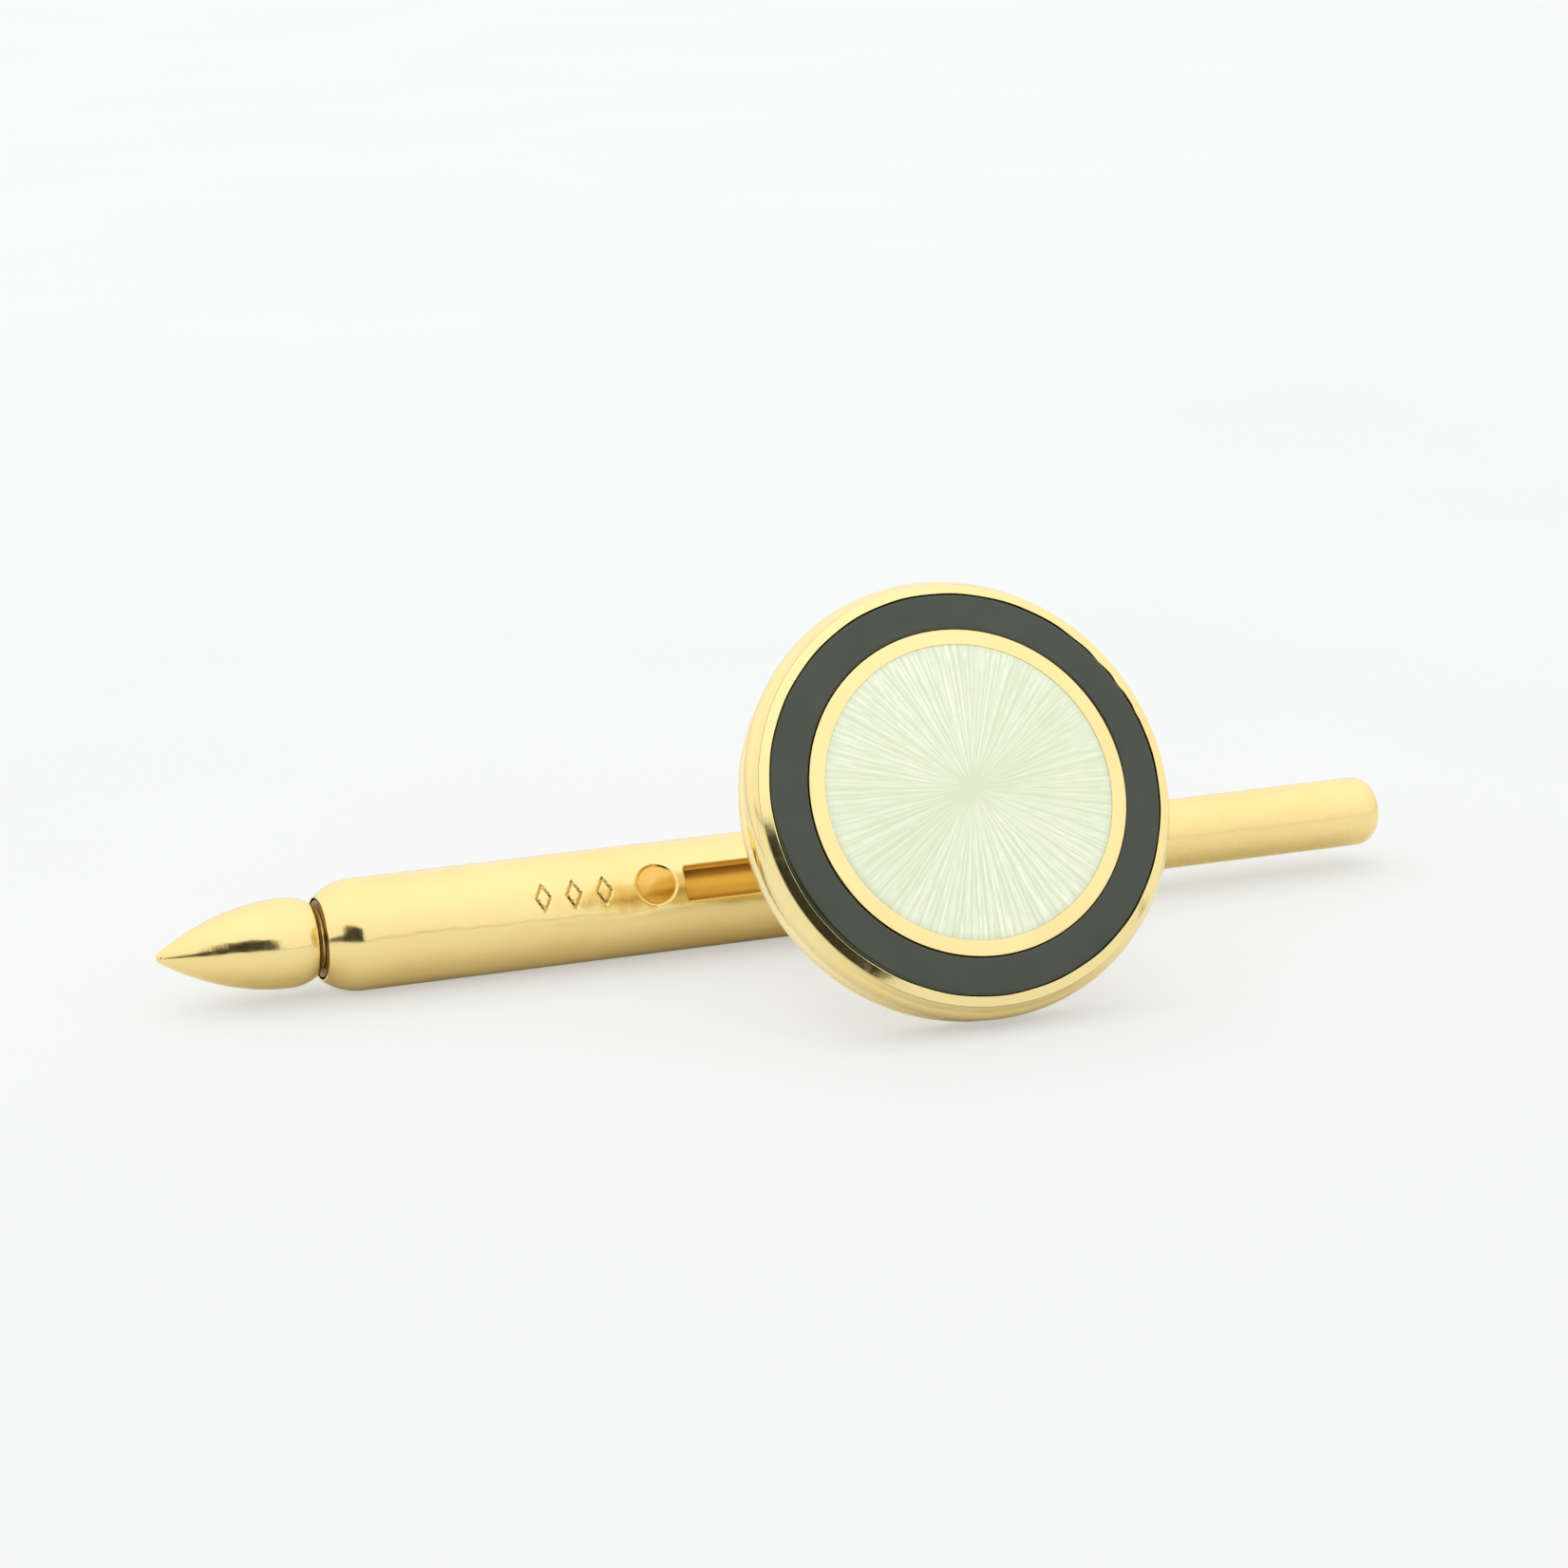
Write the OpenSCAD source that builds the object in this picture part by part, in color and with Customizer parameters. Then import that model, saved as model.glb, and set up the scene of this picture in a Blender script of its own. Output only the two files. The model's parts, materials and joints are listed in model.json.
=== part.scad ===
// Dress stud: a round enamelled head on a post, and a sprung bar that the post crosses.
// The stud lies as it rests on a table, on its tube and on the lower edge of its back plate.
// Millimetres, +Z up, +X along the bar towards the plain rod end, table at Z = 0.

/* [Head] */
// Diameter over the rounded rim
head_d = 12; // [11.6:0.1:12.4]
// Outer diameter of the black enamel ring
ring_d = 11; // [10.6:0.1:11.2]
// Outer diameter of the gold band between the two enamels
band_d = 8.9; // [8.6:0.1:9.4]
// Diameter of the pale enamel disc
disc_d = 8.06; // [7.4:0.02:8.3]
// Height of the crown of the slightly domed face above its outer edge
face_rise = 0.42; // [0.2:0.02:0.6]
// Thickness of the enamelled plate at its outer edge
plate_t = 0.9; // [0.8:0.05:1.0]
// Thickness of the back plate
back_t = 0.5; // [0.4:0.05:0.7]
// Depth of both enamels
enamel_t = 0.4; // [0.3:0.05:0.5]

/* [Post] */
// Height of the face's outer edge above the bar's axis
face_h = 9.6; // [9.2:0.1:11]
// Diameter of the post
post_d = 0.9; // [0.8:0.02:1.0]
// Diameter of the flared foot where the post meets the back plate
foot_d = 2.6; // [2.0:0.1:3.2]

/* [Bar] */
// Outer diameter of the sliding tube
tube_d = 3.1; // [3.0:0.1:3.4]
// Bore of the sliding tube
bore_d = 2.5; // [2.4:0.02:2.6]
// Diameter of the plain rod
rod_d = 2; // [1.9:0.02:2.1]
// Distance from the post to the rounded end of the rod
rod_reach = 16.45; // [14:0.05:18]
// Distance from the post to the shouldered end of the tube
tube_reach = 15.7; // [15.2:0.1:17]
// Distance from the post to the tip of the bullet
tip_reach = 20.2; // [19.8:0.1:21.6]
// Largest diameter of the bullet
bullet_d = 2.48; // [2.3:0.02:2.6]
// Radial gap between the pieces that slide on each other
slide_gap = 0.03; // [0.02:0.01:0.05]

/* [Slot and spring] */
// Width of the slot that the post runs in
slot_w = 1.0; // [0.96:0.02:1.2]
// Distance from the post to the far end of the slot
slot_reach = 5.5; // [5.2:0.1:5.6]
// Diameter of the spring wire
wire_d = 0.2; // [0.16:0.02:0.22]
// Number of turns in the spring
turns = 8; // [6:1:8]

/* [Hidden] */
$fn = 96;
gold = [0.93, 0.76, 0.42];
warm_gold = [0.87, 0.62, 0.25];
pale_green = [0.88, 0.92, 0.82];
soft_black = [0.07, 0.08, 0.08];
steel = [0.70, 0.71, 0.72];

head_r = head_d / 2;
ring_r = ring_d / 2;
band_r = band_d / 2;
disc_r = disc_d / 2;
tube_r = tube_d / 2;
bore_r = bore_d / 2;
rod_r = rod_d / 2;
post_r = post_d / 2;
wire_r = wire_d / 2;

// Head, in heights above the bar's axis
bead_r = 0.55;
bead_h = face_h - 0.72;
bead_ring_r = head_r - bead_r;
chamfer_w = 0.26;
chamfer_drop = 0.11;
plate_r = ring_r + chamfer_w;
seat_h = face_h - plate_t;
ledge_w = 0.7;
ledge_t = 0.5;
back_top = seat_h - ledge_t;
back_bottom = back_top - back_t;
back_edge_r = back_t / 2;
back_r = head_r - 0.15;
dome_r = (pow(ring_r, 2) + pow(face_rise, 2)) / (2 * face_rise);
dome_centre_h = face_h + face_rise - dome_r;
channel_floor = face_h - enamel_t;
well_floor = face_h + face_rise - enamel_t;

// Bar, in distances along its axis from the post
shoulder_l = 1.1;
shoulder_r = 1.74;
tube_end = 2.6;
slot_end = post_r + slide_gap;
flange_r = tube_r - 0.1;
flange_t = 0.25;
bush_l = 1.7;
neck_gap = 0.1;
neck_r = 0.85;
thread_r = 0.7;
plug_l = 2.5;
spigot_l = 2.1;
bullet_r = bullet_d / 2;
bullet_base = -tube_reach - neck_gap;
bullet_round_l = 0.8;
bullet_round_r = 1.36;
bullet_waist = bullet_base - bullet_round_l;
ogive_l = tip_reach + bullet_waist;
ogive_r = (pow(ogive_l, 2) + pow(bullet_r, 2)) / (2 * bullet_r);
piston_l = 0.8;
piston_back = -slot_reach - 0.3;
piston_front = piston_back - piston_l;
nose_r = 0.72;
nose_l = 1.2;
shank_r = rod_r - 0.02;
shank_end = tube_end + flange_t + 0.05;
socket_depth = rod_r + 0.6;
spring_start = -tube_reach + plug_l;
spring_r = 0.94;

// Plain punch marks on the side of the tube that faces the head
mark_depth = 0.06;
round_mark_r = 0.57;
round_mark_x = -6.35;
lozenge_w = 0.5;
lozenge_h = 0.9;
lozenge_first = -9.62;
lozenge_step = 0.88;
marks_off = 0.08;

// Tilt at which both the tube and the back plate's rolled edge touch the table
rest_r = back_r - back_edge_r;
rest_h = back_bottom + back_edge_r;
rest_swing = sqrt(pow(rest_h, 2) + pow(rest_r, 2));
lean = atan2(rest_r, rest_h) + asin((back_edge_r - tube_r) / rest_swing);
front_y = -(bead_h * cos(lean) + bead_ring_r * sin(lean) + bead_r);
shift_x = (tip_reach - rod_reach) / 2;
shift_y = -(front_y + tube_r) / 2;
over = 0.01;

// Sets a piece made about the bar's axis, with the head towards +Z, down on the table.
module laid() {
    translate([shift_x, shift_y, tube_r])
        rotate([90 - lean, 0, 0])
            children();
}

// Turns an outline of radius against distance about the bar's axis.
module along_bar() {
    rotate([0, 90, 0])
        rotate_extrude()
            children();
}

// Plain cylinder along the bar from one distance to another.
module bar_cylinder(r, from, to) {
    translate([from, 0, 0])
        rotate([0, 90, 0])
            cylinder(r = r, h = to - from);
}

// Outline of the head between two radii, from a height up to the domed face.
module domed_outline(from_r, to_r, from_h) {
    intersection() {
        translate([0, dome_centre_h])
            circle(r = dome_r, $fn = 720);
        translate([from_r, from_h])
            square([to_r - from_r, face_h + 1 - from_h]);
    }
}

// Outline of the tube's outside with its rounded shoulder.
module tube_outline() {
    translate([0, -tube_reach + shoulder_l])
        square([tube_r, tube_end + tube_reach - shoulder_l]);
    intersection() {
        translate([tube_r - shoulder_r, -tube_reach + shoulder_l])
            circle(r = shoulder_r);
        translate([0, -tube_reach])
            square([tube_r, shoulder_l + over]);
    }
}

// Rounded gold rim that holds the enamelled plate.
module bezel() {
    color(gold) laid()
        rotate_extrude()
            difference() {
                union() {
                    translate([bead_ring_r, bead_h])
                        circle(r = bead_r);
                    translate([plate_r - ledge_w, back_top])
                        square([bead_ring_r - plate_r + ledge_w, ledge_t]);
                }
                translate([0, seat_h])
                    square([plate_r, plate_t]);
            }
}

// Gold plate with a bevelled edge, a ring channel and a central well.
module face_plate() {
    color(gold) laid()
        rotate_extrude()
            difference() {
                union() {
                    domed_outline(0, ring_r, seat_h);
                    polygon([[0, seat_h], [plate_r, seat_h], [plate_r, face_h - chamfer_drop],
                        [ring_r, face_h], [0, face_h]]);
                }
                translate([band_r, channel_floor])
                    square([ring_r - band_r, 1]);
                translate([0, well_floor])
                    square([disc_r, 1]);
            }
}

// Black enamel between the rim and the gold band.
module black_enamel_ring() {
    color(soft_black) laid()
        rotate_extrude()
            domed_outline(band_r, ring_r, channel_floor);
}

// Pale translucent enamel in the central well.
module pale_enamel_disc() {
    color(pale_green) laid()
        rotate_extrude()
            domed_outline(0, disc_r, well_floor);
}

// Round-edged plate that closes the back of the head, drilled for the post.
module back_plate() {
    color(gold) laid()
        difference() {
            rotate_extrude() {
                translate([back_r - back_edge_r, back_bottom + back_edge_r])
                    circle(r = back_edge_r);
                translate([0, back_bottom])
                    square([back_r - back_edge_r, back_t]);
            }
            translate([0, 0, back_bottom - 1])
                cylinder(r = post_r, h = back_t + 2);
        }
}

// Post from the rod to the head, flared where it meets the back plate.
module post() {
    flare = (foot_d - post_d) / 2;
    color(gold) laid() {
        translate([0, 0, -socket_depth + rod_r])
            cylinder(r = post_r, h = back_top + socket_depth - rod_r);
        rotate_extrude()
            difference() {
                translate([0, back_bottom - flare])
                    square([post_r + flare, flare]);
                translate([post_r + flare, back_bottom - flare])
                    circle(r = flare);
            }
    }
}

// Rod with a rounded free end, a shank inside the tube that is relieved slightly, a piston
// and a nose inside the spring, drilled for the post.
module inner_rod() {
    color(warm_gold) laid()
        difference() {
            union() {
                bar_cylinder(rod_r, shank_end, rod_reach - rod_r);
                translate([rod_reach - rod_r, 0, 0])
                    sphere(r = rod_r);
                bar_cylinder(shank_r, piston_back - over, shank_end + over);
                bar_cylinder(bore_r - slide_gap, piston_front, piston_back);
                bar_cylinder(nose_r, piston_front - nose_l, piston_front + over);
            }
            translate([0, 0, -socket_depth + rod_r])
                cylinder(r = post_r, h = socket_depth + 1);
        }
}

// Outer tube with a slot for the post and plain punch marks beside it.
module slide_tube() {
    color(gold) laid()
        difference() {
            along_bar()
                difference() {
                    tube_outline();
                    translate([0, -tube_reach - 1])
                        square([bore_r, tube_reach + tube_end + 2]);
                }
            translate([-slot_reach, -slot_w / 2, 0])
                cube([slot_reach + slot_end, slot_w, tube_d]);
            punch_marks();
        }
}

// One round and three lozenge-shaped dents, all of one depth below the tube's surface.
module punch_marks() {
    difference() {
        linear_extrude(tube_d) {
            translate([round_mark_x, marks_off])
                circle(r = round_mark_r);
            for (i = [0 : 2])
                translate([lozenge_first + i * lozenge_step, marks_off])
                    polygon([[-lozenge_w / 2, 0], [0, -lozenge_h / 2], [lozenge_w / 2, 0],
                        [0, lozenge_h / 2]]);
        }
        bar_cylinder(tube_r - mark_depth, -tube_reach, 0);
    }
}

// Flanged bush in the open end of the tube that guides the rod.
module guide_bush() {
    color(gold) laid()
        difference() {
            union() {
                bar_cylinder(bore_r, tube_end - bush_l, tube_end + over);
                bar_cylinder(flange_r, tube_end, tube_end + flange_t);
            }
            bar_cylinder(rod_r + slide_gap, tube_end - bush_l - 1, tube_end + flange_t + 1);
        }
}

// Plug in the shouldered end of the tube, bored for the bullet's screw.
module threaded_bush() {
    color(warm_gold) laid()
        difference() {
            intersection() {
                along_bar() tube_outline();
                bar_cylinder(bore_r, -tube_reach, spring_start);
            }
            bar_cylinder(thread_r, -tube_reach - 1, spring_start + 1);
        }
}

// Pointed tip with a rounded base, a neck and a screw.
module bullet_tip() {
    color(gold) laid() {
        along_bar() {
            intersection() {
                translate([bullet_r - ogive_r, bullet_waist])
                    circle(r = ogive_r, $fn = 200);
                translate([0, -tip_reach])
                    square([bullet_r, ogive_l]);
            }
            intersection() {
                translate([bullet_r - bullet_round_r, bullet_waist])
                    circle(r = bullet_round_r);
                translate([0, bullet_waist])
                    square([bullet_r, bullet_round_l]);
            }
        }
        bar_cylinder(neck_r, bullet_base - over, -tube_reach);
        bar_cylinder(thread_r, -tube_reach - over, -tube_reach + spigot_l);
    }
}

// Compression spring between the plug and the piston, with closed end turns.
module return_spring() {
    sides = 8;
    steps_per_turn = 16;
    steps = turns * steps_per_turn;
    free_l = piston_front - spring_start - wire_d;
    // Share of the free length reached after a number of turns, with a flat turn at each end
    function climb(t) = min(max((t - 0.8) / (turns - 1.6), 0), 1);
    function ends(t) = wire_d * (min(t, 1) + max(t - turns + 1, 0)) * 0.9;
    function rise(t) = ends(t) + climb(t) * (free_l - 1.8 * wire_d);
    function ring(i) = [for (k = [0 : sides - 1])
        let (t = i / steps_per_turn, a = 360 * t, b = 360 * k / sides,
            r = spring_r + wire_r * cos(b))
        [spring_start + wire_r + rise(t) + wire_r * sin(b), r * cos(a), r * sin(a)]];
    points = [for (i = [0 : steps]) each ring(i)];
    walls = [for (i = [0 : steps - 1], k = [0 : sides - 1])
        let (n = (k + 1) % sides)
        [i * sides + k, (i + 1) * sides + k, (i + 1) * sides + n, i * sides + n]];
    first = [for (k = [0 : sides - 1]) k];
    last = [for (k = [sides - 1 : -1 : 0]) steps * sides + k];
    color(steel) laid()
        polyhedron(points, concat(walls, [first, last]));
}

bezel();
face_plate();
black_enamel_ring();
pale_enamel_disc();
back_plate();
post();
inner_rod();
slide_tube();
guide_bush();
threaded_bush();
bullet_tip();
return_spring();
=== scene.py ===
"""A dress stud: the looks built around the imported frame.

Every piece is described in the stud's own axes, in millimetres: x runs along the bar from the post
towards the plain rod end, n from the bar's axis towards the head, and m across both. place() puts such a
point into the row.
"""
import json
import math
import random

import bmesh
import bpy
from mathutils import Matrix, Vector, noise


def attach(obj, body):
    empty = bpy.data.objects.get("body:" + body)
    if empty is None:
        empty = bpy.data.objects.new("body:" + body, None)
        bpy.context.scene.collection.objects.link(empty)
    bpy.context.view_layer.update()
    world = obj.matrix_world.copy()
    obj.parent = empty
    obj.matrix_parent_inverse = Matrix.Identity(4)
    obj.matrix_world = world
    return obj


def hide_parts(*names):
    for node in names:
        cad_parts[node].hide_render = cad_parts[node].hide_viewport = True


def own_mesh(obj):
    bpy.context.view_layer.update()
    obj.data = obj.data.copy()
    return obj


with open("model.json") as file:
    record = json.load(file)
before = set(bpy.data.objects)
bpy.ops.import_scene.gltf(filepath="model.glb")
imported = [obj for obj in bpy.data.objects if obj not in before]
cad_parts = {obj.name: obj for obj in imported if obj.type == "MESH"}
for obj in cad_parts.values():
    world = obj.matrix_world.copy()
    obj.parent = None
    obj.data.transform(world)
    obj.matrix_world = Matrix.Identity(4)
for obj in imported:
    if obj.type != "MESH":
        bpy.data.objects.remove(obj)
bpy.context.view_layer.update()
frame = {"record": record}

MM = 0.001
NEAR = 1e-6
mounts = {mount["name"]: mount for mount in frame["record"]["mounts"]}
ALONG = Vector((1, 0, 0))
FACING = Vector(mounts["cloth_post"]["axis"]).normalized()
ACROSS = FACING.cross(ALONG)
POST_AT = Vector(mounts["cloth_post"]["pos_m"])
ROD_AT = Vector(mounts["rod_end"]["pos_m"])
CENTRE = Vector((POST_AT.x, ROD_AT.y, ROD_AT.z))

# Head: radii about the post, and heights above the bar's axis
HEAD_R = 6.0
RING_R = 5.5
BAND_R = 4.45
DISC_R = 4.03
FACE_H = 9.6
FACE_RISE = 0.42
DOME_R = (RING_R ** 2 + FACE_RISE ** 2) / (2 * FACE_RISE)
DOME_H = FACE_H + FACE_RISE - DOME_R
PLATE_R = 5.76
BEVEL_DROP = 0.11
SEAT_H = 8.7
BACK_TOP = 8.2
BACK_BOTTOM = 7.7
BACK_R = 5.85
ENAMEL_T = 0.4
WELL_H = FACE_H + FACE_RISE - ENAMEL_T
CHANNEL_H = FACE_H - ENAMEL_T
MENISCUS = 0.1
RAYS = 96
LEDGE_R = 5.06
BEAD_R = 0.55
BEAD_H = 8.88
POST_R = 0.45
FOOT_R = 1.3
POST_END = -0.6
# Chips in the black enamel's outer edge: angle and breadth in radians, depth in mm
CHIPS = ((0.62, 0.05, 0.05), (0.47, 0.035, 0.035), (0.80, 0.07, 0.022), (0.30, 0.03, 0.02))

# Bar: places along it from the post, and radii about it
TUBE_R = 1.55
BORE_R = 1.25
TUBE_LEFT = -15.7
TUBE_RIGHT = 2.6
SHOULDER_AT = -14.6
SHOULDER_R = 1.74
SLOT_LEFT = -5.5
SLOT_RIGHT = 0.48
SLOT_HALF = 0.5
SLOT_AT = math.asin(SLOT_HALF / TUBE_R)
SLOT_EDGE = 0.05
SLOT_CORNER = 0.1
ROD_R = 1.0
SHANK_R = 0.98
SHANK_END = 2.9
ROD_RIGHT = 16.45
ROD_CORNER = 0.62
ROD_CROWN = 0.11
PISTON_BACK = -5.8
PISTON_FRONT = -6.6
NOSE_LEFT = -7.8
NOSE_R = 0.72
BUSH_LEFT = 0.9
BUSH_FLANGE = 0.25
PLUG_RIGHT = -13.2
PLUG_DISH = 0.18
THREAD_R = 0.7
THREAD_DEPTH = 0.07
THREAD_PITCH = 0.14
THREAD_RIGHT = TUBE_LEFT + 1.9
SCREW_END = TUBE_LEFT + 2.1
NECK_R = 0.85
BULLET_R = 1.24
BULLET_TIP = -20.2
BULLET_WAIST = -16.6
BULLET_BASE = -15.8
BULLET_ROUND_R = 1.36
BLUNT_R = 0.16
BLUNT_GAIN = 0.1
BLUNT_REACH = 0.6
OGIVE_R = ((BULLET_WAIST - BULLET_TIP) ** 2 + BULLET_R ** 2) / (2 * BULLET_R)
SPRING_R = 0.94
WIRE_R = 0.1
TURNS = 8
RINGS_PER_TURN = 32
WIRE_SIDES = 10

# Plain punch marks, a dished round one and three lozenges, on a flat that striking them has left
MARK_DEPTH = 0.055
MARKS_OFF = 0.08
ROUND_MARK_X = -6.35
ROUND_MARK_R = 0.6
ROUND_MARK_WALL = 0.07
LOZENGES_X = (-9.62, -8.74, -7.86)
LOZENGE_W = 0.25
LOZENGE_H = 0.45
GROOVE_SHARE = 0.34
LAND_LEFT = -11.0
LAND_RIGHT = -5.75
LAND_FADE = 1.2
LAND_HALF = 1.15
LAND_DEPTH = 0.036


def place(point):
    """A point of the stud's own axes, as a place in the row."""
    x, m, n = point
    return CENTRE + (ALONG * x + ACROSS * m + FACING * n) * MM


# ----------------------------------------------------------------------------------------- mesh building

def piece(name, points, faces, look, body, cad_node,
          sharp_angle=32, uvs=None, recess=None, inner=None):
    """A shaded mesh object that rides on a body and stands for a CAD node.

    recess gives each point's share of a struck mark's depth, negative in a dished mark, for the marks'
    painted shade; inner picks the faces inside the tube, which take gold painted deep orange for the shade
    there.
    """
    mesh = bpy.data.meshes.new(name)
    mesh.from_pydata([place(p) for p in points], [], faces)
    if uvs:
        layer = mesh.uv_layers.new(name="face_mm")
        for loop in mesh.loops:
            layer.data[loop.index].uv = uvs[loop.vertex_index]
    if recess:
        mesh.attributes.new("recess", "FLOAT", "POINT").data.foreach_set("value", recess)
    build = bmesh.new()
    build.from_mesh(mesh)
    bmesh.ops.recalc_face_normals(build, faces=build.faces)
    limit = math.radians(sharp_angle)
    for face in build.faces:
        face.smooth = True
    for edge in build.edges:
        if len(edge.link_faces) == 2 and edge.calc_face_angle() > limit:
            edge.smooth = False
    build.to_mesh(mesh)
    build.free()
    mesh.materials.append(look)
    if inner:
        mesh.materials.append(INNER_SHADE_GOLD)
        for polygon, face in zip(mesh.polygons, faces):
            middle = sum((Vector(points[v]) for v in face), Vector()) / len(face)
            polygon.material_index = int(inner(middle))
    obj = bpy.data.objects.new(name, mesh)
    bpy.context.scene.collection.objects.link(obj)
    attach(obj, body)
    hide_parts(cad_node)
    return obj


def arc(centre_r, centre_h, radius, start, end, steps):
    """Points (r, h) of an arc; angles in degrees from the +r direction towards +h."""
    angles = [math.radians(start + (end - start) * i / steps) for i in range(steps + 1)]
    return [(centre_r + radius * math.cos(a), centre_h + radius * math.sin(a)) for a in angles]


def eased(corners, steps=5, closed=True):
    """Rounds the corners of an outline. Each corner is (r, h) or (r, h, rounding radius).

    A support point either side of each rounding keeps the flats flat under smooth shading.
    """
    longest = 0.45
    support = 0.05
    outline = []
    count = len(corners)
    for i, corner in enumerate(corners):
        here = Vector(corner[:2])
        radius = corner[2] if len(corner) > 2 else 0
        if radius == 0 or (not closed and i in (0, count - 1)):
            outline.append(tuple(here))
            continue
        to_last = Vector(corners[i - 1][:2]) - here
        to_next = Vector(corners[(i + 1) % count][:2]) - here
        half = to_last.angle(to_next) / 2
        reach = min(radius / math.tan(half), longest * to_last.length, longest * to_next.length)
        radius = reach * math.tan(half)
        first = here + to_last.normalized() * reach
        last = here + to_next.normalized() * reach
        inward = (to_last.normalized() + to_next.normalized()).normalized()
        middle = here + inward * radius / math.sin(half)
        outline.append(tuple(first + to_last.normalized() * min(reach, support * to_last.length)))
        swing = (first - middle).angle_signed(last - middle)
        for step in range(steps + 1):
            spoke = (first - middle).to_3d()
            spoke.rotate(Matrix.Rotation(-swing * step / steps, 3, "Z"))
            outline.append(tuple(middle + spoke.to_2d()))
        outline.append(tuple(last + to_next.normalized() * min(reach, support * to_next.length)))
    return outline


def about_face(r, h, angle):
    """A point turned about the post's axis."""
    return (r * math.cos(angle), r * math.sin(angle), h)


def about_bar(r, h, angle):
    """A point turned about the bar's axis."""
    return (h, r * math.sin(angle), r * math.cos(angle))


def turned(outline, turn, segments=256, closed=True, shape=None):
    """Points and faces of an outline of (r, h) turned about an axis; points at r = 0 become poles.

    shape, if given, changes a point's (r, h) from its place and its angle.
    """
    points = []
    rings = []
    for r, h in outline:
        if r < NEAR:
            rings.append([len(points)] * segments)
            points.append(turn(0, h, 0))
            continue
        rings.append(list(range(len(points), len(points) + segments)))
        for k in range(segments):
            angle = 2 * math.pi * k / segments
            shaped_r, shaped_h = shape(r, h, angle) if shape else (r, h)
            points.append(turn(shaped_r, shaped_h, angle))
    faces = []
    spans = len(rings) if closed else len(rings) - 1
    for i in range(spans):
        here = rings[i]
        after = rings[(i + 1) % len(rings)]
        for k in range(segments):
            n = (k + 1) % segments
            face = []
            for v in (here[k], here[n], after[n], after[k]):
                if v not in face:
                    face.append(v)
            if len(face) > 2:
                faces.append(face)
    return points, faces


def dome(r):
    """Height of the domed face at a radius."""
    return DOME_H + math.sqrt(DOME_R ** 2 - r ** 2)


# --------------------------------------------------------------------------------------------- materials

def material(name):
    """A new node material, with its tree and shader."""
    made = bpy.data.materials.new(name)
    made.use_nodes = True
    tree = made.node_tree
    return made, tree, tree.nodes["Principled BSDF"]


def node(tree, kind, inputs=None, **settings):
    """A node with its settings, and with its inputs given as values or as other nodes' outputs."""
    made = tree.nodes.new(kind)
    for key, value in settings.items():
        setattr(made, key, value)
    for key, value in (inputs or {}).items():
        if isinstance(value, bpy.types.NodeSocket):
            tree.links.new(value, made.inputs[key])
        else:
            made.inputs[key].default_value = value
    return made


def in_mm(tree, stretch=(1, 1, 1)):
    """The place on the surface in the row, in millimetres, stretched for streaks."""
    coordinates = node(tree, "ShaderNodeTexCoord")
    scale = [s / MM for s in stretch]
    mapping = node(tree, "ShaderNodeMapping", {"Vector": coordinates.outputs["Object"], "Scale": scale})
    return mapping.outputs["Vector"]


def ramp(tree, factor, stops):
    """A colour ramp of (position, colour) stops."""
    made = node(tree, "ShaderNodeValToRGB", {"Fac": factor})
    elements = made.color_ramp.elements
    for element, (position, colour) in zip(elements, stops):
        element.position = position
        element.color = (*colour, 1)
    for position, colour in stops[2:]:
        elements.new(position).color = (*colour, 1)
    return made.outputs["Color"]


def remap(tree, value, low, high, from_low=0.0, from_high=1.0):
    """A value moved from one range to another, and held within it."""
    return node(tree, "ShaderNodeMapRange", {
        "Value": value, "From Min": from_low, "From Max": from_high,
        "To Min": low, "To Max": high}).outputs[0]


def math_node(tree, operation, first, second=0.0):
    """One arithmetic step."""
    return node(tree, "ShaderNodeMath", {0: first, 1: second}, operation=operation).outputs[0]


def blended(tree, factor, first, second):
    """One colour mixed into another; each is an output or a plain colour."""
    inputs = {0: factor}
    for socket, colour in ((6, first), (7, second)):
        inputs[socket] = colour if isinstance(colour, bpy.types.NodeSocket) else (*colour, 1)
    return node(tree, "ShaderNodeMix", inputs, data_type="RGBA").outputs[2]


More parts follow.
